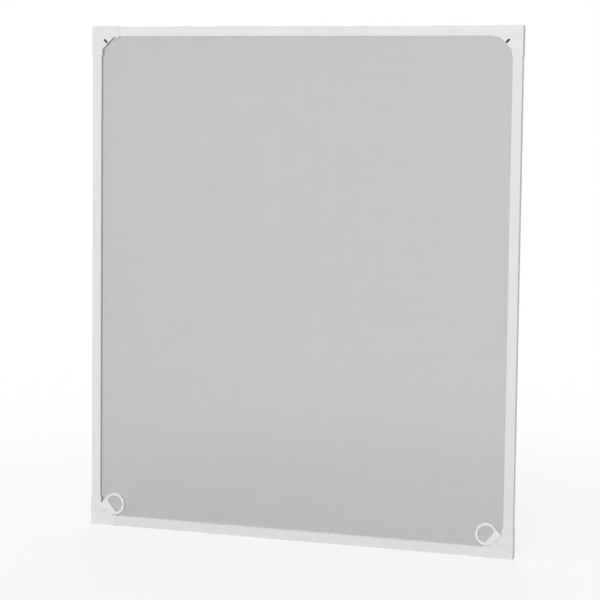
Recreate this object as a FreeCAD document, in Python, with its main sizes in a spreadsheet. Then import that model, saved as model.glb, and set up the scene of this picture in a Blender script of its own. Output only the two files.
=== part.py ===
"""Insect screen: four white profiles joined by moulded corner pieces, and gauze stretched behind them.

The frame stands upright, X to the right, Z up and its front towards -Y. The origin is the middle of the
plane behind the frame in which the tips of the brush strips lie.
Every piece of the rim is drawn in the frame of one side, and its placement turns it to that side: x runs
along the side from the outer corner, y inwards from the outer edge, and z from the brush tips to the front.
"""
import FreeCAD, Part
import math
import os

import Sketcher
from FreeCAD import Placement, Rotation, Vector

SIZES = {
    # whole frame, over the outer edges of the profiles, and its distance from the plane of the brush tips
    "frame_width": 800.0,
    "frame_height": 912.0,
    "stand_off": 6.5,
    # extruded profile
    "face_width": 17.5,
    "profile_depth": 11.0,
    "front_wall": 1.2,
    "side_wall": 1.2,
    "middle_wall": 1.2,
    "profile_edge_radius": 0.8,
    # groove for the spline, with a hollow under its floor and the lip that the gauze is stretched over
    "groove_width": 4.8,
    "groove_depth": 4.7,
    "groove_web": 1.0,
    "groove_hollow": 1.6,
    "lip_wall": 1.3,
    # slot for the brush strip
    "brush_slot_width": 5.2,
    "brush_slot_depth": 1.4,
    "brush_slot_lip": 0.9,
    "brush_slot_mouth": 3.2,
    "brush_slot_floor": 1.0,
    "brush_clearance": 0.2,
    "pile_clearance": 0.4,
    # moulded corner piece
    "corner_arm": 51.5,
    "corner_proud": 0.8,
    "corner_inner_proud": 1.8,
    "corner_chamfer": 25.0,
    "corner_edge_radius": 0.6,
    "corner_point_radius": 1.5,
    "corner_inner_radius": 1.0,
    "tenon_length": 35.0,
    "tenon_clearance": 0.15,
    "tenon_lead": 3.0,
    "tenon_lead_width": 1.5,
    # socket in the slanted edge of the corner piece, and the slot in front of it
    "socket_width": 10.0,
    "socket_depth": 12.2,
    "socket_height": 2.8,
    "socket_cover": 1.0,
    "slot_length": 9.0,
    "slot_width": 3.8,
    "slot_setback": 5.6,
    # pull ring, which hangs off the diagonal towards the bottom profile
    "ring_radius": 20.0,
    "ring_wall": 5.0,
    "ring_side_gap": 6.0,
    "ring_shift": 4.8,
    "ring_proud": 1.0,
    "ring_edge_radius": 1.2,
    "ring_corner_radius": 2.5,
    "ring_foot_height": 11.6,
    "ring_foot_slant": 1.5,
    "ring_foot_inset": 1.4,
    "ring_foot_overlap": 0.3,
    "ring_seat_clearance": 0.1,
    "tongue_clearance": 0.2,
    # spline cord
    "spline_clearance": 0.1,
    # gauze, drawn as a coarse weave
    "gauze_thickness": 0.5,
    "gauze_tuck_thickness": 0.4,
    "gauze_tuck_clearance": 0.3,
    "gauze_columns": 12,
    "gauze_rows": 10,
    "gauze_gap_width": 20.0,
    "gauze_bar": 14.0,
    "gauze_ridge_steps": 4,
    "gauze_ridge_width": 0.6,
    "gauze_ridge_height": 0.3,
}

# Heights above the plane of the brush tips
BACK = "stand_off"
FRONT = "( stand_off + profile_depth )"
CHAMBER_TOP = f"( {FRONT} - front_wall )"
HOLLOW_BOTTOM = f"( {CHAMBER_TOP} - groove_hollow )"
GROOVE_FLOOR = f"( {HOLLOW_BOTTOM} - groove_web )"
GAUZE_FACE = f"( {GROOVE_FLOOR} - groove_depth )"
SLOT_BOTTOM = f"( {BACK} + brush_slot_lip )"
SLOT_TOP = f"( {SLOT_BOTTOM} + brush_slot_depth )"
CHAMBER_BOTTOM = f"( {SLOT_TOP} + brush_slot_floor )"
BRUSH_BOTTOM = f"( {SLOT_BOTTOM} + brush_clearance )"
BRUSH_TOP = f"( {SLOT_TOP} - brush_clearance )"
CORNER_FRONT = f"( {FRONT} + corner_proud )"
SOCKET_TOP = f"( {CORNER_FRONT} - socket_cover )"
SOCKET_BOTTOM = f"( {SOCKET_TOP} - socket_height )"
TONGUE_TOP = f"( {SOCKET_TOP} - tongue_clearance )"
TONGUE_BOTTOM = f"( {SOCKET_BOTTOM} + tongue_clearance )"
RING_FRONT = f"( {CORNER_FRONT} + ring_proud )"

# Distances inwards from the outer edge
GROOVE_INNER = "( face_width - lip_wall )"
GROOVE_OUTER = f"( {GROOVE_INNER} - groove_width )"
CHAMBER_INNER = f"( {GROOVE_OUTER} - middle_wall )"
BRUSH_MIDDLE = f"( ( side_wall + {CHAMBER_INNER} ) / 2 )"
CORNER_INNER = "( face_width + corner_inner_proud )"
GAUZE_EDGE = f"( {GROOVE_INNER} - gauze_tuck_thickness )"

# Distances along the diagonal from the inner corner of the profiles' edges
CHAMFER = "( corner_chamfer * sqrt(0.5) )"
SLOT_MIDDLE = f"( {CHAMFER} - slot_setback )"
RING_SEAT = f"( {CHAMFER} + ring_seat_clearance )"
RING_MIDDLE = "( ( ring_radius + ring_side_gap ) * sqrt(2) )"

SPLINE_RADIUS = "( ( groove_width - gauze_tuck_thickness ) / 2 - spline_clearance )"
DIAGONAL = 45
# How far a cut runs past the solid, and that end of the cuts along a corner's arms
CUT_OVERRUN = 1.0
PAST_ARM = f"( corner_arm + {CUT_OVERRUN} )"
# Largest fillet as a share of the wall that it rounds, and the tolerance for comparing places
FILLET_SHARE = 0.45
TOLERANCE = 1e-4

doc = FreeCAD.newDocument("InsectScreen")
sheet = doc.addObject("Spreadsheet::Sheet", "Sizes")
for row, (alias, number) in enumerate(SIZES.items(), start=1):
    sheet.set(f"A{row}", alias)
    sheet.set(f"B{row}", str(number))
    sheet.setAlias(f"B{row}", alias)
doc.recompute()


def on_sheet(text):
    """Expression for the document: each word that names a size gets the sheet's name before it."""
    return " ".join(f"Sizes.{word}" if word in SIZES else word for word in text.split())


def value_of(text):
    """Number that an expression has with the sheet's sizes."""
    return float(sheet.evalExpression(on_sheet(text)))


def place(piece, sign_x, sign_z, turn):
    """Turns a piece upright, with its origin on the outer corner of the frame that has these signs."""
    upright = Rotation(Vector(1, 0, 0), 90)
    piece.Placement = Placement(Vector(), upright * Rotation(Vector(0, 0, 1), turn))
    piece.setExpression("Placement.Base.x", on_sheet(f"{sign_x} * frame_width / 2"))
    piece.setExpression("Placement.Base.z", on_sheet(f"{sign_z} * frame_height / 2"))


def add_body(label):
    body = doc.addObject("PartDesign::Body", label)
    body.Label = label
    return body


def add_sketch(body, name, plane="XY_Plane", height="0", shift="0", turn=0):
    """Sketch on an origin plane, lifted along its normal, moved by the shift both ways, then turned."""
    sketch = body.newObject("Sketcher::SketchObject", f"{body.Name}_{name}")
    support = next(feature for feature in body.Origin.OriginFeatures if feature.Role == plane)
    sketch.AttachmentSupport = [(support, "")]
    sketch.MapMode = "FlatFace"
    sketch.AttachmentOffset = Placement(Vector(), Rotation(Vector(0, 0, 1), turn))
    sketch.setExpression("AttachmentOffset.Base.x", on_sheet(shift))
    sketch.setExpression("AttachmentOffset.Base.y", on_sheet(shift))
    sketch.setExpression("AttachmentOffset.Base.z", on_sheet(height))
    return sketch


def constrain(sketch, kind, *places, to):
    """Adds a dimension that is bound to an expression."""
    index = sketch.addConstraint(Sketcher.Constraint(kind, *places, value_of(to)))
    sketch.setExpression(f"Constraints[{index}]", on_sheet(to))


def draw_polygon(sketch, points):
    """Closed outline through points that are pairs of expressions."""
    count = len(points)
    first = sketch.GeometryCount
    spots = [Vector(value_of(x), value_of(y), 0) for x, y in points]
    for i in range(count):
        sketch.addGeometry(Part.LineSegment(spots[i], spots[(i + 1) % count]))
    for i, (x, y) in enumerate(points):
        line = first + i
        line_before = first + (i - 1) % count
        sketch.addConstraint(Sketcher.Constraint("Coincident", line_before, 2, line, 1))
        constrain(sketch, "DistanceX", -1, 1, line, 1, to=x)
        constrain(sketch, "DistanceY", -1, 1, line, 1, to=y)


def draw_rectangle(sketch, left, right, low, high):
    draw_polygon(sketch, [(left, low), (right, low), (right, high), (left, high)])


def circle_at(x, y, radius):
    return Part.Circle(Vector(value_of(x), value_of(y), 0), Vector(0, 0, 1), value_of(radius))


def fix_circle(sketch, index, x, y, radius):
    """Dimensions for the centre and the radius of a circle or an arc."""
    constrain(sketch, "DistanceX", -1, 1, index, 3, to=x)
    constrain(sketch, "DistanceY", -1, 1, index, 3, to=y)
    constrain(sketch, "Radius", index, to=radius)


def draw_circle(sketch, x, y, radius):
    circle = sketch.addGeometry(circle_at(x, y, radius))
    fix_circle(sketch, circle, x, y, radius)


def draw_slot(sketch, middle, length, width):
    """Round-ended slot along the sketch's x axis."""
    radius = f"( {width} / 2 )"
    ends = []
    for side in (-1, 1):
        x = f"( {middle} + {side} * ( {length} - {width} ) / 2 )"
        begin = -side * math.pi / 2
        arc = Part.ArcOfCircle(circle_at(x, "0", radius), begin, begin + math.pi)
        ends.append((sketch.addGeometry(arc), arc, x))
    for (before, first_arc, x), (after, next_arc, _) in zip(ends, reversed(ends)):
        line = sketch.addGeometry(Part.LineSegment(first_arc.EndPoint, next_arc.StartPoint))
        sketch.addConstraint(Sketcher.Constraint("Tangent", before, 2, line, 1))
        sketch.addConstraint(Sketcher.Constraint("Tangent", line, 2, after, 1))
        fix_circle(sketch, before, x, "0", radius)


def extrude(body, sketch, kind, length):
    """Pad or Pocket of a sketch, along its normal."""
    feature = body.newObject(f"PartDesign::{kind}", f"{sketch.Name}_{kind}")
    feature.Profile = sketch
    feature.setExpression("Length", on_sheet(length))
    feature.Reversed = kind == "Pocket"
    return feature


def round_edges(body, name, radius, chosen):
    """Fillet of those edges of the body so far for which the test is true."""
    doc.recompute()
    base = body.Tip
    names = [f"Edge{i}" for i, edge in enumerate(base.Shape.Edges, start=1) if chosen(edge)]
    fillet = body.newObject("PartDesign::Fillet", f"{body.Name}_{name}")
    fillet.Base = (base, names)
    fillet.setExpression("Radius", on_sheet(radius))
    return fillet


def near(a, b):
    return abs(a - b) < TOLERANCE


def all_points(edge, test):
    return all(test(vertex.Point) for vertex in edge.Vertexes)


def is_upright(edge):
    """True for a straight edge along the depth of the frame."""
    ends = [vertex.Point for vertex in edge.Vertexes]
    return len(ends) == 2 and near(ends[0].x, ends[1].x) and near(ends[0].y, ends[1].y)


def make_profile(label, side_length):
    """Hollow extrusion with a plain face, and a groove for the spline and a slot for the brush behind it."""
    body = add_body(label)
    section = add_sketch(body, "section", plane="YZ_Plane", height="corner_arm")
    draw_polygon(section, [
        ("0", BACK),
        (f"{BRUSH_MIDDLE} - brush_slot_mouth / 2", BACK),
        (f"{BRUSH_MIDDLE} - brush_slot_mouth / 2", SLOT_BOTTOM),
        (f"{BRUSH_MIDDLE} - brush_slot_width / 2", SLOT_BOTTOM),
        (f"{BRUSH_MIDDLE} - brush_slot_width / 2", SLOT_TOP),
        (f"{BRUSH_MIDDLE} + brush_slot_width / 2", SLOT_TOP),
        (f"{BRUSH_MIDDLE} + brush_slot_width / 2", SLOT_BOTTOM),
        (f"{BRUSH_MIDDLE} + brush_slot_mouth / 2", SLOT_BOTTOM),
        (f"{BRUSH_MIDDLE} + brush_slot_mouth / 2", BACK),
        (GROOVE_OUTER, BACK),
        (GROOVE_OUTER, GROOVE_FLOOR),
        (GROOVE_INNER, GROOVE_FLOOR),
        (GROOVE_INNER, GAUZE_FACE),
        ("face_width", GAUZE_FACE),
        ("face_width", FRONT),
        ("0", FRONT),
    ])
    draw_rectangle(section, "side_wall", CHAMBER_INNER, CHAMBER_BOTTOM, CHAMBER_TOP)
    draw_rectangle(section, GROOVE_OUTER, GROOVE_INNER, HOLLOW_BOTTOM, CHAMBER_TOP)
    extrude(body, section, "Pad", f"{side_length} - 2 * corner_arm")
    doc.recompute()
    box = body.Shape.BoundBox
    round_edges(body, "edges", "profile_edge_radius", lambda edge: all_points(
        edge, lambda point: near(point.z, box.ZMax)) and near(edge.Length, box.XLength))
    return body


def make_corner(label):
    """Moulded corner with two arms, a slanted inside edge, and a tenon for the chamber of each profile."""
    body = add_body(label)
    outline = add_sketch(body, "outline", height=BACK)
    bend = "( face_width + corner_chamfer - corner_inner_proud )"
    draw_polygon(outline, [
        ("- corner_proud", "- corner_proud"),
        ("corner_arm", "- corner_proud"),
        ("corner_arm", CORNER_INNER),
        (bend, CORNER_INNER),
        (CORNER_INNER, bend),
        (CORNER_INNER, "corner_arm"),
        ("- corner_proud", "corner_arm"),
    ])
    extrude(body, outline, "Pad", f"{CORNER_FRONT} - {BACK}")
    doc.recompute()
    box = body.Shape.BoundBox
    round_edges(body, "point", "corner_point_radius", lambda edge: is_upright(edge) and all_points(
        edge, lambda point: near(point.x, box.XMin) and near(point.y, box.YMin)))
    inner = value_of(CORNER_INNER)

    def is_bend(point):
        """True where the slanted edge meets the inner edge of an arm."""
        return near(min(point.x, point.y), inner) and not near(max(point.x, point.y), box.XMax)

    round_edges(body, "bends", "corner_inner_radius",
                lambda edge: is_upright(edge) and all_points(edge, is_bend))
    round_edges(body, "edges", "corner_edge_radius", lambda edge: all_points(
        edge, lambda point: near(point.z, box.ZMax)))

    behind = add_sketch(body, "behind")
    draw_rectangle(behind, GROOVE_OUTER, PAST_ARM, GROOVE_OUTER, PAST_ARM)
    extrude(body, behind, "Pocket", GAUZE_FACE)

    groove = add_sketch(body, "groove")
    draw_polygon(groove, [
        (GROOVE_OUTER, GROOVE_OUTER),
        (PAST_ARM, GROOVE_OUTER),
        (PAST_ARM, GROOVE_INNER),
        (GROOVE_INNER, GROOVE_INNER),
        (GROOVE_INNER, PAST_ARM),
        (GROOVE_OUTER, PAST_ARM),
    ])
    extrude(body, groove, "Pocket", GROOVE_FLOOR)

    low = "( side_wall + tenon_clearance )"
    high = f"( {CHAMBER_INNER} - tenon_clearance )"
    tip = "( corner_arm + tenon_length )"
    tenon = [
        ("corner_arm", low),
        (f"{tip} - tenon_lead", low),
        (tip, f"{low} + tenon_lead_width"),
        (tip, f"{high} - tenon_lead_width"),
        (f"{tip} - tenon_lead", high),
        ("corner_arm", high),
    ]
    for name, points in (("tenon", tenon), ("second_tenon", [(y, x) for x, y in tenon])):
        sketch = add_sketch(body, name, height=f"{CHAMBER_BOTTOM} + tenon_clearance")
        draw_polygon(sketch, points)
        extrude(body, sketch, "Pad", f"{CHAMBER_TOP} - {CHAMBER_BOTTOM} - 2 * tenon_clearance")

    socket = add_sketch(body, "socket", height=SOCKET_BOTTOM, shift="face_width", turn=DIAGONAL)
    draw_rectangle(socket, f"{CHAMFER} - socket_depth", f"{CHAMFER} + {CUT_OVERRUN}",
                   "- socket_width / 2", "socket_width / 2")
    extrude(body, socket, "Pocket", "socket_height")

    slot = add_sketch(body, "slot", height=SOCKET_TOP, shift="face_width", turn=DIAGONAL)
    draw_slot(slot, SLOT_MIDDLE, "slot_length", "slot_width")
    extrude(body, slot, "Pocket", "socket_cover")
    return body


def make_pull_ring(label, lean):
    """Finger ring with a D-shaped hole, and a tongue with a nib that snaps into the socket of a corner.

    The lean is the sign of the side of the diagonal that the ring hangs to.
    """
    body = add_body(label)
    shift = f"( {lean} * ring_shift )"
    edge_of_face = value_of("face_width")

    def diagonal_sketch(name, height=TONGUE_BOTTOM):
        return add_sketch(body, name, height=height, shift="face_width", turn=DIAGONAL)

    def from_inner_corner(point):
        """Distances of a point along the diagonal and across it."""
        x = point.x - edge_of_face
        y = point.y - edge_of_face
        return (x + y) * math.sqrt(0.5), (y - x) * math.sqrt(0.5)

    def is_off_seat(point):
        along, _ = from_inner_corner(point)
        return along > value_of(RING_SEAT) + TOLERANCE

    def is_in_hole(point):
        along, across = from_inner_corner(point)
        from_middle = math.hypot(along - value_of(RING_MIDDLE), across - value_of(shift))
        return from_middle < value_of("ring_radius - ring_wall") + TOLERANCE

    def is_rim(edge):
        """True for an edge of the front face that leaves the seat; the back stays flat."""
        front = body.Tip.Shape.BoundBox.ZMax
        leaves_seat = any(is_off_seat(vertex.Point) for vertex in edge.Vertexes)
        return leaves_seat and all_points(edge, lambda point: near(point.z, front))

    def beside_middle(side, distance):
        """Place across the diagonal, at a distance from the ring's middle on its near or far side."""
        return f"( {lean} * ( ring_shift + {side} * {distance} ) )"

    def half_chord(height):
        """Half of the chord at a height, through the middle of the ring's wall."""
        return f"sqrt( ( ring_radius - ring_wall / 2 ) ^ 2 - ( {RING_MIDDLE} - {height} ) ^ 2 )"

    thickness = f"( {RING_FRONT} - {TONGUE_BOTTOM} )"
    disc = diagonal_sketch("disc")
    draw_circle(disc, RING_MIDDLE, shift, "ring_radius")
    extrude(body, disc, "Pad", thickness)
    hole = diagonal_sketch("hole")
    draw_circle(hole, RING_MIDDLE, shift, "ring_radius - ring_wall")
    extrude(body, hole, "Pocket", thickness)

    half_foot = "( ( corner_chamfer - 2 * corner_inner_proud ) * sqrt(0.5) - ring_foot_inset )"
    near_top = f"( {CHAMFER} + ring_foot_height - ring_foot_slant )"
    far_top = f"( {CHAMFER} + ring_foot_height + ring_foot_slant )"
    foot = diagonal_sketch("foot")
    draw_polygon(foot, [
        (RING_SEAT, f"{lean} * {half_foot}"),
        (near_top, beside_middle(1, half_chord(near_top))),
        (far_top, beside_middle(-1, half_chord(far_top))),
        (RING_MIDDLE, beside_middle(-1, "( ring_radius - ring_foot_overlap )")),
        (RING_SEAT, f"- {lean} * {half_foot}"),
    ])
    extrude(body, foot, "Pad", thickness)
    trim = diagonal_sketch("trim")
    draw_rectangle(trim, f"{RING_SEAT} - ring_radius", RING_SEAT, "- ring_radius", "ring_radius")
    extrude(body, trim, "Pocket", thickness)

    round_edges(body, "corners", "ring_corner_radius",
                lambda edge: is_upright(edge) and all_points(edge, is_in_hole))
    limit = f"{FILLET_SHARE} * min( ring_wall ; {thickness} )"
    round_edges(body, "edges", f"min( ring_edge_radius ; {limit} )", is_rim)

    tongue = diagonal_sketch("tongue")
    half_tongue = "( socket_width / 2 - tongue_clearance )"
    draw_rectangle(tongue, f"{CHAMFER} - socket_depth + tongue_clearance",
                   f"{CHAMFER} + ring_foot_height / 2", f"- {half_tongue}", half_tongue)
    extrude(body, tongue, "Pad", f"{TONGUE_TOP} - {TONGUE_BOTTOM}")
    nib = diagonal_sketch("nib", height=TONGUE_TOP)
    draw_slot(nib, SLOT_MIDDLE,
              "( slot_length - 2 * tongue_clearance )", "( slot_width - 2 * tongue_clearance )")
    extrude(body, nib, "Pad", "socket_cover")
    return body


def make_spline(label, side_length, end):
    """Round cord pressed into the groove of one side, up to the end's distance from both outer corners."""
    body = add_body(label)
    section = add_sketch(body, "section", plane="YZ_Plane", height=end)
    draw_circle(section, f"{GROOVE_OUTER} + spline_clearance + {SPLINE_RADIUS}",
                f"{GROOVE_FLOOR} - spline_clearance - {SPLINE_RADIUS}", SPLINE_RADIUS)
    extrude(body, section, "Pad", f"{side_length} - 2 * ( {end} )")
    return body


def make_brush(label, side_length):
    """Brush strip: a backing in the profile's slot and a pile that stands out behind the frame."""
    body = add_body(label)
    section = add_sketch(body, "section", plane="YZ_Plane", height="corner_arm")
    half_back = "( brush_slot_width / 2 - brush_clearance )"
    half_pile = "( brush_slot_mouth / 2 - pile_clearance )"
    draw_polygon(section, [
        (f"{BRUSH_MIDDLE} - {half_pile}", "0"),
        (f"{BRUSH_MIDDLE} + {half_pile}", "0"),
        (f"{BRUSH_MIDDLE} + {half_pile}", BRUSH_BOTTOM),
        (f"{BRUSH_MIDDLE} + {half_back}", BRUSH_BOTTOM),
        (f"{BRUSH_MIDDLE} + {half_back}", BRUSH_TOP),
        (f"{BRUSH_MIDDLE} - {half_back}", BRUSH_TOP),
        (f"{BRUSH_MIDDLE} - {half_back}", BRUSH_BOTTOM),
        (f"{BRUSH_MIDDLE} - {half_pile}", BRUSH_BOTTOM),
    ])
    extrude(body, section, "Pad", f"{side_length} - 2 * corner_arm")
    return body


def centred_rectangle(half_width, half_height, level):
    signs = ((-1, -1), (1, -1), (1, 1), (-1, 1))
    corners = [Vector(x * half_width, y * half_height, level) for x, y in signs]
    return Part.makePolygon([*corners, corners[0]])


def raise_face(wires, depth):
    """Solid between an outer wire and the wires of its holes."""
    return Part.makeFace(wires, "Part::FaceMakerBullseye").extrude(Vector(0, 0, depth))


def make_gauze(label):
    """Stretched gauze: one wall with a grid of gaps, crossing ridges, and an edge in the groove."""
    width = value_of("frame_width - 2 * face_width")
    height = value_of("frame_height - 2 * face_width")
    front_level = value_of(GAUZE_FACE)
    wall = value_of("gauze_thickness")
    back_level = front_level - wall
    edge_margin = value_of(f"face_width - {GAUZE_EDGE}")
    fold_margin = value_of(f"face_width - {GROOVE_INNER}")
    fold_depth = value_of("groove_depth - gauze_tuck_clearance")
    gap_width = value_of("gauze_gap_width")
    bar = value_of("gauze_bar")
    ridge_width = value_of("gauze_ridge_width")
    ridge_height = value_of("gauze_ridge_height")
    columns = round(value_of("gauze_columns"))
    rows = round(value_of("gauze_rows"))
    ridge_steps = round(value_of("gauze_ridge_steps"))
    corner_reach = value_of("corner_arm - face_width")
    step_x = width / columns
    step_y = height / rows
    gap_height = step_y - bar
    left = -width / 2
    low = -height / 2

    def outline(margin, level):
        return centred_rectangle(width / 2 + margin, height / 2 + margin, level)

    def ridge_places(count, step, gap_size):
        """Distances of the ridges from the edge, clear of the corners and of the lines of gaps."""
        shares = [i / ridge_steps for i in range(ridge_steps)
                  if abs(i / ridge_steps - 0.5) * step > gap_size / 2 + ridge_width]
        distances = [(i + share) * step for i in range(count) for share in shares]
        return [distance for distance in distances if corner_reach < distance < count * step - corner_reach]

    gap = centred_rectangle(gap_width / 2, gap_height / 2, back_level)
    gaps = [gap.translated(Vector(left + (i + 0.5) * step_x, low + (j + 0.5) * step_y, 0))
            for i in range(columns) for j in range(rows)]
    cloth = raise_face([outline(edge_margin, back_level), *gaps], wall)
    tuck = raise_face([outline(edge_margin, front_level), outline(fold_margin, front_level)], fold_depth)
    warp = Part.makeBox(ridge_width, height, ridge_height, Vector(left - ridge_width / 2, low, front_level))
    weft = Part.makeBox(width, ridge_width, ridge_height,
                        Vector(left, low - ridge_width / 2, back_level - ridge_height))
    ridges = [warp.translated(Vector(x, 0, 0)) for x in ridge_places(columns, step_x, gap_width)]
    ridges += [weft.translated(Vector(0, y, 0)) for y in ridge_places(rows, step_y, gap_height)]

    gauze = doc.addObject("Part::Feature", label)
    gauze.Label = label
    gauze.Shape = cloth.fuse([tuck, *ridges]).removeSplitter()
    return gauze


# Each side with the outer corner that it starts from, that corner's signs of X and Z, and the side's turn
SIDES = (
    ("bottom", "bottom_left", -1, -1, 0),
    ("right", "bottom_right", 1, -1, 90),
    ("top", "top_right", 1, 1, 180),
    ("left", "top_left", -1, 1, 270),
)
# The upright splines run through the crossings of the grooves, and the level ones end beside them
SPLINE_THROUGH = f"( {GROOVE_OUTER} + spline_clearance )"
SPLINE_BESIDE = f"( {GROOVE_OUTER} + 3 * spline_clearance + 2 * {SPLINE_RADIUS} )"

pieces = []
for side, corner, sign_x, sign_z, turn in SIDES:
    is_level = turn % 180 == 0
    side_length = "frame_width" if is_level else "frame_height"
    spline_end = SPLINE_BESIDE if is_level else SPLINE_THROUGH
    made = [
        make_profile(f"profile_{side}", side_length),
        make_corner(f"corner_{corner}"),
        make_spline(f"spline_{side}", side_length, spline_end),
        make_brush(f"brush_seal_{side}", side_length),
    ]
    if sign_z < 0:
        made.append(make_pull_ring(f"pull_{corner.replace('bottom', 'ring')}", lean=sign_x))
    for piece in made:
        place(piece, sign_x, sign_z, turn)
    pieces += made
gauze = make_gauze("gauze")
place(gauze, 0, 0, 0)
pieces.append(gauze)
doc.recompute()

failed = [item.Name for item in doc.Objects if {"Invalid", "Error"} & set(item.State)]
if failed:
    raise RuntimeError(f"failed features: {failed}")
loose = [item.Name for item in doc.findObjects("Sketcher::SketchObject") if not item.FullyConstrained]
if loose:
    raise RuntimeError(f"sketches that are not fully constrained: {loose}")
for piece in pieces:
    if piece.Shape.isNull() or not piece.Shape.isValid() or len(piece.Shape.Solids) != 1:
        raise RuntimeError(f"{piece.Label} is not one valid solid")

os.makedirs("parts", exist_ok=True)
for piece in pieces:
    piece.Shape.exportStep(f"parts/{piece.Label}.step")
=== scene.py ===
import math
import random

import bmesh
import bpy
from mathutils import Matrix, Vector


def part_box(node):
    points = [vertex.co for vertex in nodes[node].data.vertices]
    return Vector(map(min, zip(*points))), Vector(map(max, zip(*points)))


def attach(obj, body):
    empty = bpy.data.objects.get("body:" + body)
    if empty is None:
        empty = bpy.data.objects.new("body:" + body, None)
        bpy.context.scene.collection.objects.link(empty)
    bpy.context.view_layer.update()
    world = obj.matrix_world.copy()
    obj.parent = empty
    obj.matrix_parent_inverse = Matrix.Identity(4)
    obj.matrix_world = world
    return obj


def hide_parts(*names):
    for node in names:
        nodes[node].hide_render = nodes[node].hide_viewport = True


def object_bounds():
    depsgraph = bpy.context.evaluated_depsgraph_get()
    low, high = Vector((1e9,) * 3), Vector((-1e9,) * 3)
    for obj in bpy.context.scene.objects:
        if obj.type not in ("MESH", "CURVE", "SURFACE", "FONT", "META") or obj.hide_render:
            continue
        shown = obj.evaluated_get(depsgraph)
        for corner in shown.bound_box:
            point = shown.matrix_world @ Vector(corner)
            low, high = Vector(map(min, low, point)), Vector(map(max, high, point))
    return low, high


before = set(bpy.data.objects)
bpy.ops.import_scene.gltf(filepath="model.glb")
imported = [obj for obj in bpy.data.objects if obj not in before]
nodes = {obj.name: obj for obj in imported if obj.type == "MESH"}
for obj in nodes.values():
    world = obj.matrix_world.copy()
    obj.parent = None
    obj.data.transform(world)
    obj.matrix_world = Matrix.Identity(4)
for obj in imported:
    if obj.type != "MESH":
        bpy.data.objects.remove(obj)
cad_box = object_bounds()
scene = bpy.context.scene

MM = 0.001
QUARTER_TURN = math.radians(90)
SIDES = ("bottom", "left", "right", "top")
CORNERS = ("bottom_left", "bottom_right", "top_left", "top_right")
HANDS = ("left", "right")

# Gauze: yarns of coated glass fibre, upright ones in front and level ones welded on behind
YARN_SPACING = 1.2 * MM
YARN_WIDTH = 0.36 * MM
YARN_WELD = 0.02 * MM
YARN_SIDES = 6
# Depth of the solid's cloth and ridges behind the lip, and thickness of the edge pressed into the groove
CLOTH_DEPTH = 0.8 * MM
TUCK_THICKNESS = 0.4 * MM
# A slanting way, along which no two faces of that edge lie level
SORTING_WAY = Vector((1, 7, 3))

# Spline cord: ribs round its section, and the share of its radius at the valleys between them
SPLINE_RIBS = 14
SPLINE_VALLEY = 0.92

# Brush strip: woven backing with rounded edges, and stiff hairs that stand on it in rows
BACKING_THICKNESS = 1.0 * MM
BACKING_EDGE = 0.25 * MM
BACKING_EDGE_STEPS = 2
PILE_WIDTH = 2.4 * MM
HAIR_ROWS = 5
HAIR_SPACING = 0.7 * MM
HAIRS_IN_TUFT = 20
# Hair: three-sided, with its tip's share of the radius, its largest lean, how far it strays from its place
# as a share of the spacing, and its shortest and longest length as a share of the pile's height
HAIR_SIDES = 3
HAIR_RADIUS = 0.17 * MM
HAIR_TIP = 0.6
HAIR_LEAN = math.radians(5)
HAIR_STRAY = 0.3
HAIR_LENGTHS = (0.93, 0.99)

# Floor: matt white paper under the frame, whose look fades into the white around it
FLOOR_RADIUS = 6.0
FLOOR_SIDES = 96
FADE_START = 0.5
FADE_END = 2.0
# Share of the paper that the eye sees as pure white, near the screen and far from it; the rest takes shadow
PAPER_WHITE = 0.8
FAR_WHITE = 0.98
# Where the paper breaks up into specks of pure white, so that no edge of it shows
SPECKS_START = 1.2
SPECKS_END = 3.0

# Even light from the white backdrop, and softboxes with their place, width and power
BACKDROP_LIGHT = 0.28
SOFTBOXES = {
    "key": ((0.6, -9.0, 4.0), 3.2, 508.0),
    "back": ((-2.4, 6.2, 4.0), 2.6, 260.0),
}

# Camera: to the right of the screen and a little above its middle, looking slightly down
CAMERA_PLACE = (1.276, -3.487, 0.308)
CAMERA_TURN = math.radians(20.11)
CAMERA_TILT = math.radians(5.14)
CAMERA_ROLL = math.radians(0.66)
LENS = 126.0
SENSOR = 36.0

# Sockets of a colour mix: its share, its two colours and its result
MIX_SHARE, MIX_FIRST, MIX_SECOND, MIX_RESULT = 0, 6, 7, 2


def colour(code):
    """Linear colour of an sRGB hex value."""
    parts = [int(code[i:i + 2], 16) / 255 for i in (1, 3, 5)]
    linear = [part / 12.92 if part <= 0.04045 else ((part + 0.055) / 1.055) ** 2.4 for part in parts]
    return (*linear, 1.0)


def add_node(tree, kind, inputs=None, **settings):
    """Adds a node with its settings; each input is a plain value or the output that it is linked to."""
    made = tree.nodes.new(kind)
    for name, value in settings.items():
        setattr(made, name, value)
    for name, value in (inputs or {}).items():
        if isinstance(value, bpy.types.NodeSocket):
            tree.links.new(value, made.inputs[name])
        else:
            made.inputs[name].default_value = value
    return made


def new_material(name):
    """Material with an empty node tree, and that tree."""
    material = bpy.data.materials.new(name)
    material.use_nodes = True
    material.node_tree.nodes.clear()
    return material, material.node_tree


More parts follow.
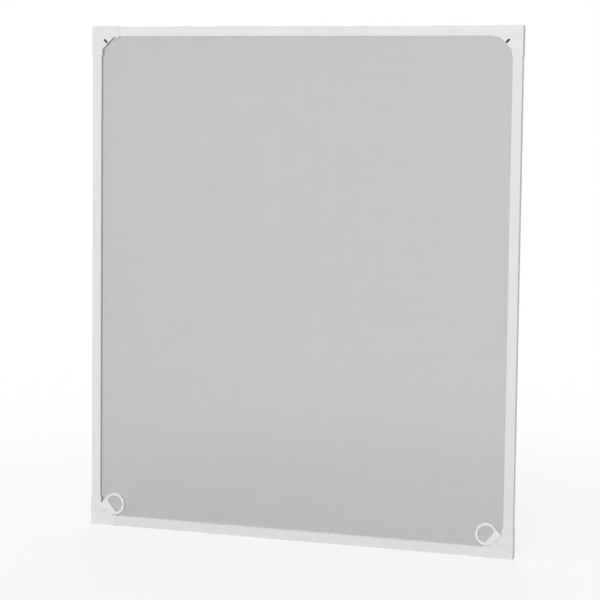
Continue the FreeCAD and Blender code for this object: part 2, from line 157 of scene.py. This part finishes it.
def powder_coated_aluminium():
    """Polyester powder baked on extruded aluminium: an even white, satin, with a fine orange peel."""
    material, tree = new_material("powder_coated_aluminium")
    place = add_node(tree, "ShaderNodeTexCoord").outputs["Object"]
    # The coat's thickness drifts over some centimetres and shifts the white a little
    drift = add_node(tree, "ShaderNodeTexNoise", {"Vector": place, "Scale": 1 / (60 * MM), "Detail": 3.0})
    # Orange peel is about 1 mm wide, drawn at 2.5 mm because finer waves do not show
    peel = add_node(tree, "ShaderNodeTexNoise", {"Vector": place, "Scale": 1 / (2.5 * MM), "Detail": 2.0})
    white = add_node(tree, "ShaderNodeMix", {
        MIX_SHARE: drift.outputs["Fac"],
        MIX_FIRST: colour("#E5E6E8"),
        MIX_SECOND: colour("#EDEDED"),
    }, data_type="RGBA")
    gloss = add_node(tree, "ShaderNodeMapRange", {
        "Value": peel.outputs["Fac"], "From Min": 0.3, "From Max": 0.7, "To Min": 0.34, "To Max": 0.46})
    bump = add_node(tree, "ShaderNodeBump", {
        "Height": peel.outputs["Fac"], "Strength": 0.5, "Distance": 0.03 * MM})
    coat = add_node(tree, "ShaderNodeBsdfPrincipled", {
        "Base Color": white.outputs[MIX_RESULT], "Roughness": gloss.outputs["Result"],
        "Normal": bump.outputs["Normal"], "IOR": 1.5})
    add_node(tree, "ShaderNodeOutputMaterial", {"Surface": coat.outputs["BSDF"]})
    return material


def moulded_abs():
    """White ABS from a spark-eroded mould: slightly duller than the coat beside it, with shade painted dark
    in its slot.
    """
    material, tree = new_material("moulded_abs")
    place = add_node(tree, "ShaderNodeTexCoord").outputs["Object"]
    # The melt leaves faint flow shades about a centimetre wide
    flow = add_node(tree, "ShaderNodeTexNoise", {
        "Vector": place, "Scale": 1 / (14 * MM), "Detail": 2.0, "Distortion": 0.6})
    # The grain of the mould is about 0.2 mm, drawn at 0.9 mm because finer grit does not show
    grain = add_node(tree, "ShaderNodeTexNoise", {
        "Vector": place, "Scale": 1 / (0.9 * MM), "Detail": 3.0, "Roughness": 0.6})
    white = add_node(tree, "ShaderNodeMix", {
        MIX_SHARE: flow.outputs["Fac"],
        MIX_FIRST: colour("#E6E6E7"),
        MIX_SECOND: colour("#ECECEC"),
    }, data_type="RGBA")
    # Painted shade: where walls stand close together, in the socket, its slot and the corner's other
    # hollows, ambient occlusion colours the white near black
    closeness = add_node(tree, "ShaderNodeAmbientOcclusion", {
        "Distance": 15 * MM}, only_local=True, samples=16)
    openness = add_node(tree, "ShaderNodeMapRange", {
        "Value": closeness.outputs["AO"], "From Min": 0.5, "From Max": 0.9}, interpolation_type="SMOOTHSTEP")
    # Mixes the white towards a near-black painted shade wherever the hollows are close
    painted_slot_shade = add_node(tree, "ShaderNodeMix", {
        MIX_SHARE: openness.outputs["Result"],
        MIX_FIRST: colour("#1E1E20"),
        MIX_SECOND: white.outputs[MIX_RESULT],
    }, data_type="RGBA")
    gloss = add_node(tree, "ShaderNodeMapRange", {
        "Value": grain.outputs["Fac"], "From Min": 0.3, "From Max": 0.7, "To Min": 0.42, "To Max": 0.55})
    bump = add_node(tree, "ShaderNodeBump", {
        "Height": grain.outputs["Fac"], "Strength": 0.4, "Distance": 0.03 * MM})
    plastic = add_node(tree, "ShaderNodeBsdfPrincipled", {
        "Base Color": painted_slot_shade.outputs[MIX_RESULT], "Roughness": gloss.outputs["Result"],
        "Normal": bump.outputs["Normal"], "IOR": 1.54})
    add_node(tree, "ShaderNodeOutputMaterial", {"Surface": plastic.outputs["BSDF"]})
    return material


def moulded_polypropylene():
    """White polypropylene from a polished mould: a clean white, smoother than the corner, a little waxy."""
    material, tree = new_material("moulded_polypropylene")
    place = add_node(tree, "ShaderNodeTexCoord").outputs["Object"]
    # The melt leaves faint flow shades a little under a centimetre wide
    flow = add_node(tree, "ShaderNodeTexNoise", {"Vector": place, "Scale": 1 / (9 * MM), "Detail": 2.0})
    # Fingers leave fine rubbed specks on the ring, about 1.5 mm apart
    rubbed = add_node(tree, "ShaderNodeTexNoise", {
        "Vector": place, "Scale": 1 / (1.5 * MM), "Detail": 4.0, "Roughness": 0.65})
    white = add_node(tree, "ShaderNodeMix", {
        MIX_SHARE: flow.outputs["Fac"],
        MIX_FIRST: colour("#EBEBEC"),
        MIX_SECOND: colour("#F1F1F1"),
    }, data_type="RGBA")
    gloss = add_node(tree, "ShaderNodeMapRange", {
        "Value": rubbed.outputs["Fac"], "From Min": 0.3, "From Max": 0.7, "To Min": 0.26, "To Max": 0.42})
    bump = add_node(tree, "ShaderNodeBump", {
        "Height": rubbed.outputs["Fac"], "Strength": 0.25, "Distance": 0.02 * MM})
    plastic = add_node(tree, "ShaderNodeBsdfPrincipled", {
        "Base Color": white.outputs[MIX_RESULT], "Roughness": gloss.outputs["Result"],
        "Normal": bump.outputs["Normal"], "IOR": 1.49,
        "Subsurface Weight": 0.05, "Subsurface Scale": 1.5 * MM})
    add_node(tree, "ShaderNodeOutputMaterial", {"Surface": plastic.outputs["BSDF"]})
    return material


def coated_glass_fibre():
    """Glass-fibre yarn in grey PVC: dark, half matt, with faint bands where yarns are thicker or closer."""
    material, tree = new_material("coated_glass_fibre")
    place = add_node(tree, "ShaderNodeTexCoord").outputs["Object"]
    # Bands about 5 mm wide run along each set of yarns for a few decimetres
    upright = add_node(tree, "ShaderNodeMapping", {
        "Vector": place, "Scale": (1 / (5 * MM), 1.0, 1 / (300 * MM))})
    level = add_node(tree, "ShaderNodeMapping", {
        "Vector": place, "Scale": (1 / (300 * MM), 1.0, 1 / (5 * MM))})
    upright_bands = add_node(tree, "ShaderNodeTexNoise", {
        "Vector": upright.outputs["Vector"], "Scale": 1.0, "Detail": 2.0})
    level_bands = add_node(tree, "ShaderNodeTexNoise", {
        "Vector": level.outputs["Vector"], "Scale": 1.0, "Detail": 2.0})
    bands = add_node(tree, "ShaderNodeMath", {
        0: upright_bands.outputs["Fac"], 1: level_bands.outputs["Fac"]}, operation="MULTIPLY")
    share = add_node(tree, "ShaderNodeMapRange", {
        "Value": bands.outputs["Value"], "From Min": 0.12, "From Max": 0.40})
    # The coat wrinkles over the twist of the yarn, about 0.4 mm long
    twist = add_node(tree, "ShaderNodeTexNoise", {"Vector": place, "Scale": 1 / (0.4 * MM), "Detail": 1.0})
    grey = add_node(tree, "ShaderNodeMix", {
        MIX_SHARE: share.outputs["Result"],
        MIX_FIRST: colour("#4A4D51"),
        MIX_SECOND: colour("#62656A"),
    }, data_type="RGBA")
    bump = add_node(tree, "ShaderNodeBump", {
        "Height": twist.outputs["Fac"], "Strength": 0.4, "Distance": 0.02 * MM})
    coat = add_node(tree, "ShaderNodeBsdfPrincipled", {
        "Base Color": grey.outputs[MIX_RESULT], "Roughness": 0.55,
        "Normal": bump.outputs["Normal"], "IOR": 1.53})
    add_node(tree, "ShaderNodeOutputMaterial", {"Surface": coat.outputs["BSDF"]})
    return material


def soft_pvc():
    """Black soft PVC, drawn through a ribbed die: dull, with a paler bloom in patches."""
    material, tree = new_material("soft_pvc")
    place = add_node(tree, "ShaderNodeTexCoord").outputs["Object"]
    # Patches of bloom are about 6 mm wide
    bloom = add_node(tree, "ShaderNodeTexNoise", {"Vector": place, "Scale": 1 / (6 * MM), "Detail": 4.0})
    # Pores of the die's drag are about 0.3 mm, drawn at 0.7 mm because finer ones do not show
    drag = add_node(tree, "ShaderNodeTexNoise", {"Vector": place, "Scale": 1 / (0.7 * MM), "Detail": 2.0})
    black = add_node(tree, "ShaderNodeMix", {
        MIX_SHARE: bloom.outputs["Fac"],
        MIX_FIRST: colour("#202123"),
        MIX_SECOND: colour("#38393B"),
    }, data_type="RGBA")
    gloss = add_node(tree, "ShaderNodeMapRange", {
        "Value": bloom.outputs["Fac"], "From Min": 0.3, "From Max": 0.7, "To Min": 0.5, "To Max": 0.68})
    bump = add_node(tree, "ShaderNodeBump", {
        "Height": drag.outputs["Fac"], "Strength": 0.4, "Distance": 0.05 * MM})
    rubber = add_node(tree, "ShaderNodeBsdfPrincipled", {
        "Base Color": black.outputs[MIX_RESULT], "Roughness": gloss.outputs["Result"],
        "Normal": bump.outputs["Normal"], "IOR": 1.53})
    add_node(tree, "ShaderNodeOutputMaterial", {"Surface": rubber.outputs["BSDF"]})
    return material


def siliconised_pile():
    """Grey polypropylene pile on a woven backing: hairs of mixed greys with a soft sheen."""
    material, tree = new_material("siliconised_pile")
    place = add_node(tree, "ShaderNodeTexCoord").outputs["Object"]
    # Neighbouring hairs differ, so the grey changes within about 1 mm
    mixed = add_node(tree, "ShaderNodeTexNoise", {"Vector": place, "Scale": 1 / (1.0 * MM), "Detail": 2.0})
    grey = add_node(tree, "ShaderNodeMix", {
        MIX_SHARE: mixed.outputs["Fac"],
        MIX_FIRST: colour("#343639"),
        MIX_SECOND: colour("#5A5C60"),
    }, data_type="RGBA")
    gloss = add_node(tree, "ShaderNodeMapRange", {
        "Value": mixed.outputs["Fac"], "From Min": 0.3, "From Max": 0.7, "To Min": 0.5, "To Max": 0.75})
    hair = add_node(tree, "ShaderNodeBsdfPrincipled", {
        "Base Color": grey.outputs[MIX_RESULT], "Roughness": gloss.outputs["Result"],
        "IOR": 1.49, "Sheen Weight": 0.2, "Sheen Roughness": 0.4})
    add_node(tree, "ShaderNodeOutputMaterial", {"Surface": hair.outputs["BSDF"]})
    return material


def seen_rays(tree):
    """Value that is 1 for rays that the eye follows and 0 for rays that light the screen."""
    path = add_node(tree, "ShaderNodeLightPath").outputs
    direct = add_node(tree, "ShaderNodeMath", {
        0: path["Is Camera Ray"], 1: path["Is Glossy Ray"]}, operation="MAXIMUM")
    seen = add_node(tree, "ShaderNodeMath", {
        0: direct.outputs["Value"], 1: path["Is Transmission Ray"]}, operation="MAXIMUM")
    return seen.outputs["Value"]


def studio_paper():
    """Matt white paper with a faint fibre shade, pure white to the eye towards its edge."""
    material, tree = new_material("studio_paper")
    place = add_node(tree, "ShaderNodeTexCoord").outputs["Object"]
    # Clouds of fibre are about 40 mm wide
    fibre = add_node(tree, "ShaderNodeTexNoise", {"Vector": place, "Scale": 1 / (40 * MM), "Detail": 3.0})
    white = add_node(tree, "ShaderNodeMix", {
        MIX_SHARE: fibre.outputs["Fac"],
        MIX_FIRST: colour("#F6F6F6"),
        MIX_SECOND: colour("#FAFAFA"),
    }, data_type="RGBA")
    matt = add_node(tree, "ShaderNodeBsdfDiffuse", {"Color": white.outputs[MIX_RESULT]})
    glow = add_node(tree, "ShaderNodeEmission", {"Color": colour("#FFFFFF"), "Strength": 1.0})
    from_middle = add_node(tree, "ShaderNodeVectorMath", {0: place}, operation="LENGTH")
    fade = add_node(tree, "ShaderNodeMapRange", {
        "Value": from_middle.outputs["Value"], "From Min": FADE_START, "From Max": FADE_END,
        "To Min": PAPER_WHITE, "To Max": FAR_WHITE}, interpolation_type="SMOOTHSTEP")
    amount = add_node(tree, "ShaderNodeMapRange", {
        "Value": from_middle.outputs["Value"], "From Min": SPECKS_START, "From Max": SPECKS_END})
    grit = add_node(tree, "ShaderNodeTexWhiteNoise", {"Vector": place})
    specks = add_node(tree, "ShaderNodeMath", {
        0: grit.outputs["Value"], 1: amount.outputs["Result"]}, operation="LESS_THAN")
    whiteness = add_node(tree, "ShaderNodeMath", {
        0: fade.outputs["Result"], 1: specks.outputs["Value"]}, operation="MAXIMUM")
    share = add_node(tree, "ShaderNodeMath", {
        0: seen_rays(tree), 1: whiteness.outputs["Value"]}, operation="MULTIPLY")
    paper = add_node(tree, "ShaderNodeMixShader", {
        0: share.outputs["Value"], 1: matt.outputs["BSDF"], 2: glow.outputs["Emission"]})
    add_node(tree, "ShaderNodeOutputMaterial", {"Surface": paper.outputs["Shader"]})
    return material


def make_object(name, shape, material):
    """Turns a shape into an object at the origin, with its place in its mesh."""
    mesh = bpy.data.meshes.new(name)
    shape.to_mesh(mesh)
    shape.free()
    mesh.materials.append(material)
    made = bpy.data.objects.new(name, mesh)
    scene.collection.objects.link(made)
    return made


def finish_piece(name, shape, material, node):
    """Turns a shape into a piece of the screen that stands for a solid."""
    piece = make_object(name, shape, material)
    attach(piece, "root")
    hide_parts(node)
    return piece


def coat_node(name, material):
    """Gives a solid that keeps its own shape its finish."""
    for slot in nodes[name].material_slots:
        slot.material = material


def repeat(shape, geometry, step, times):
    """Sets copies of the geometry beside it, each one step on from the last."""
    bmesh.ops.spin(shape, geom=geometry, cent=(0, 0, 0), axis=(0, 1, 0), dvec=step,
                   angle=0, steps=times, use_duplicate=True)


def lay_yarns(shape, middle, length, span, turn):
    """Lays parallel yarns of a length over a span; the turn stands upright yarns level."""
    spaces = int((span - YARN_WIDTH) / YARN_SPACING)
    across = turn @ Vector((YARN_SPACING, 0, 0))
    start = Matrix.Translation(middle - across * spaces / 2) @ turn
    yarn = bmesh.ops.create_cone(shape, cap_ends=True, segments=YARN_SIDES, radius1=YARN_WIDTH / 2,
                                 radius2=YARN_WIDTH / 2, depth=length, matrix=start)["verts"]
    faces = {face for vert in yarn for face in vert.link_faces}
    edges = {edge for vert in yarn for edge in vert.link_edges}
    repeat(shape, [*yarn, *edges, *faces], across, spaces)


def weave_gauze(material):
    """Cloth of crossing yarns behind the frame's lip, with its edge folded into the groove."""
    low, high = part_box("gauze")
    size = high - low
    lip = high.y - CLOTH_DEPTH
    upright_layer = lip + YARN_WIDTH / 2
    level_layer = upright_layer + YARN_WIDTH - YARN_WELD

    # The folded edge is a thin band all round, from the cloth to the bottom of the groove
    cloth = bmesh.new()
    depth = lip - low.y
    middle = Vector((0, low.y + depth / 2, 0))
    band = Matrix.Translation(middle) @ Matrix.Diagonal((size.x, depth, size.z, 1))
    bmesh.ops.create_cube(cloth, size=1, matrix=band)
    ends = [face for face in cloth.faces if abs(face.normal.y) > 0.5]
    bmesh.ops.delete(cloth, geom=ends, context="FACES_ONLY")
    bmesh.ops.recalc_face_normals(cloth, faces=cloth.faces)
    bmesh.ops.solidify(cloth, geom=cloth.faces, thickness=TUCK_THICKNESS)
    # Solidify adds its faces in no fixed order, so they are sorted to come out the same in every run
    cloth.faces.sort(key=lambda face: face.calc_center_median().dot(SORTING_WAY))

    level = Matrix.Rotation(QUARTER_TURN, 4, "Y")
    lay_yarns(cloth, Vector((0, upright_layer, 0)), size.z, size.x, Matrix.Identity(4))
    lay_yarns(cloth, Vector((0, level_layer, 0)), size.x, size.z, level)

    gauze = finish_piece("gauze_cloth", cloth, material, "gauze")


def along_side(node):
    """Length, width and box corners of a strip on one side of the frame, and its turn from lying along X."""
    low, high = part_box(node)
    size = high - low
    is_level = size.x > size.z
    turn = Matrix.Identity(4) if is_level else Matrix.Rotation(-QUARTER_TURN, 4, "Y")
    return max(size.x, size.z), min(size.x, size.z), low, high, turn


def press_in_spline(side, material):
    """Ribbed cord that holds the edge of the gauze in the groove of one side."""
    node = f"spline_{side}"
    length, thickness, low, high, turn = along_side(node)
    shape = bmesh.new()
    cord = bmesh.ops.create_cone(shape, cap_ends=True, segments=2 * SPLINE_RIBS, radius1=thickness / 2,
                                 radius2=thickness / 2, depth=length)["verts"]
    # The points come in pairs, one at each end of the cord, and every other pair is drawn in to a valley
    bmesh.ops.scale(shape, vec=(SPLINE_VALLEY, SPLINE_VALLEY, 1), verts=[*cord[::4], *cord[1::4]])
    lying = Matrix.Rotation(QUARTER_TURN, 4, "Y")
    place = Matrix.Translation((low + high) / 2) @ turn @ lying
    bmesh.ops.transform(shape, matrix=place, verts=shape.verts)
    bmesh.ops.recalc_face_normals(shape, faces=shape.faces)
    finish_piece(f"spline_cord_{side}", shape, material, node)


def plant_brush(side, material):
    """Brush strip of one side: backing in the profile's slot, and rows of hairs that stand out behind it."""
    node = f"brush_seal_{side}"
    length, width, low, high, turn = along_side(node)
    chance = random.Random(node)
    shape = bmesh.new()

    def stray():
        return chance.uniform(-HAIR_STRAY, HAIR_STRAY)

    def lean(axis):
        return Matrix.Rotation(chance.uniform(-HAIR_LEAN, HAIR_LEAN), 4, axis)

    # A tuft holds some hairs of every row, each with a lean and a length of its own
    tufts = round(length / (HAIRS_IN_TUFT * HAIR_SPACING))
    tuft_length = length / tufts
    row_spacing = (PILE_WIDTH - 2 * HAIR_RADIUS) / HAIR_ROWS
    full_height = high.y - low.y - BACKING_THICKNESS / 2
    upright = Matrix.Rotation(-QUARTER_TURN, 4, "X")
    for i in range(HAIRS_IN_TUFT):
        for j in range(HAIR_ROWS):
            along = (i + 0.5 + stray()) * tuft_length / HAIRS_IN_TUFT
            across = (j + 0.5 - HAIR_ROWS / 2 + stray()) * row_spacing
            height = full_height * chance.uniform(*HAIR_LENGTHS)
            tilt = lean("Z") @ lean("X")
            root = Matrix.Translation((along - length / 2, 0, across))
            stand = Matrix.Translation((0, 0, height / 2))
            bmesh.ops.create_cone(shape, cap_ends=True, segments=HAIR_SIDES, radius1=HAIR_RADIUS,
                                  radius2=HAIR_RADIUS * HAIR_TIP, depth=height,
                                  matrix=root @ tilt @ upright @ stand)
    repeat(shape, [*shape.verts, *shape.edges, *shape.faces], Vector((tuft_length, 0, 0)), tufts - 1)

    strip = Matrix.Diagonal((length, BACKING_THICKNESS, width, 1))
    backing = bmesh.ops.create_cube(shape, size=1, matrix=strip)["verts"]
    edges = list({edge for vert in backing for edge in vert.link_edges})
    bmesh.ops.bevel(shape, geom=edges, offset=BACKING_EDGE, affect="EDGES",
                    segments=BACKING_EDGE_STEPS, profile=0.5, material=-1)

    middle = (low + high) / 2
    place = Matrix.Translation((middle.x, low.y + BACKING_THICKNESS / 2, middle.z)) @ turn
    bmesh.ops.transform(shape, matrix=place, verts=shape.verts)
    bmesh.ops.recalc_face_normals(shape, faces=shape.faces)
    finish_piece(f"brush_strip_{side}", shape, material, node)


def lay_floor():
    """Round sheet of paper that the frame stands on."""
    shape = bmesh.new()
    bmesh.ops.create_circle(shape, cap_ends=True, segments=FLOOR_SIDES, radius=FLOOR_RADIUS)
    bmesh.ops.translate(shape, vec=(0, 0, cad_box[0][2]), verts=shape.verts)
    floor = make_object("floor", shape, studio_paper())


def light_backdrop():
    """White all round for the eye, and a dimmer even light from it on the screen."""
    world = bpy.data.worlds.new("studio")
    scene.world = world
    world.use_nodes = True
    tree = world.node_tree
    tree.nodes.clear()
    light = add_node(tree, "ShaderNodeBackground", {
        "Color": colour("#FFFFFF"), "Strength": BACKDROP_LIGHT})
    white = add_node(tree, "ShaderNodeBackground", {"Color": colour("#FFFFFF"), "Strength": 1.0})
    backdrop = add_node(tree, "ShaderNodeMixShader", {
        0: seen_rays(tree), 1: light.outputs["Background"], 2: white.outputs["Background"]})
    add_node(tree, "ShaderNodeOutputWorld", {"Surface": backdrop.outputs["Shader"]})


def hang_softbox(name, place, width, power):
    """Square softbox that faces the middle of the screen."""
    lamp = bpy.data.lights.new(name, "AREA")
    lamp.shape = "SQUARE"
    lamp.size = width
    lamp.energy = power
    softbox = bpy.data.objects.new(name, lamp)
    softbox.location = place
    softbox.rotation_euler = (-Vector(place)).to_track_quat("-Z", "Y").to_euler()
    scene.collection.objects.link(softbox)


def set_camera():
    """Camera that looks level along Y, then is tilted down, turned and rolled a little."""
    lens = bpy.data.cameras.new("camera")
    lens.lens = LENS
    lens.sensor_width = SENSOR
    camera = bpy.data.objects.new("camera", lens)
    camera.matrix_world = (
        Matrix.Translation(CAMERA_PLACE)
        @ Matrix.Rotation(CAMERA_TURN, 4, "Z")
        @ Matrix.Rotation(QUARTER_TURN - CAMERA_TILT, 4, "X")
        @ Matrix.Rotation(CAMERA_ROLL, 4, "Z"))
    scene.collection.objects.link(camera)
    scene.camera = camera


coat = powder_coated_aluminium()
corner_plastic = moulded_abs()
ring_plastic = moulded_polypropylene()
cord_plastic = soft_pvc()
pile = siliconised_pile()
for side in SIDES:
    coat_node(f"profile_{side}", coat)
    press_in_spline(side, cord_plastic)
    plant_brush(side, pile)
for corner in CORNERS:
    coat_node(f"corner_{corner}", corner_plastic)
for hand in HANDS:
    coat_node(f"pull_ring_{hand}", ring_plastic)
weave_gauze(coated_glass_fibre())

lay_floor()
light_backdrop()
for name, (place, width, power) in SOFTBOXES.items():
    hang_softbox(name, place, width, power)
set_camera()
scene.view_settings.view_transform = "Standard"
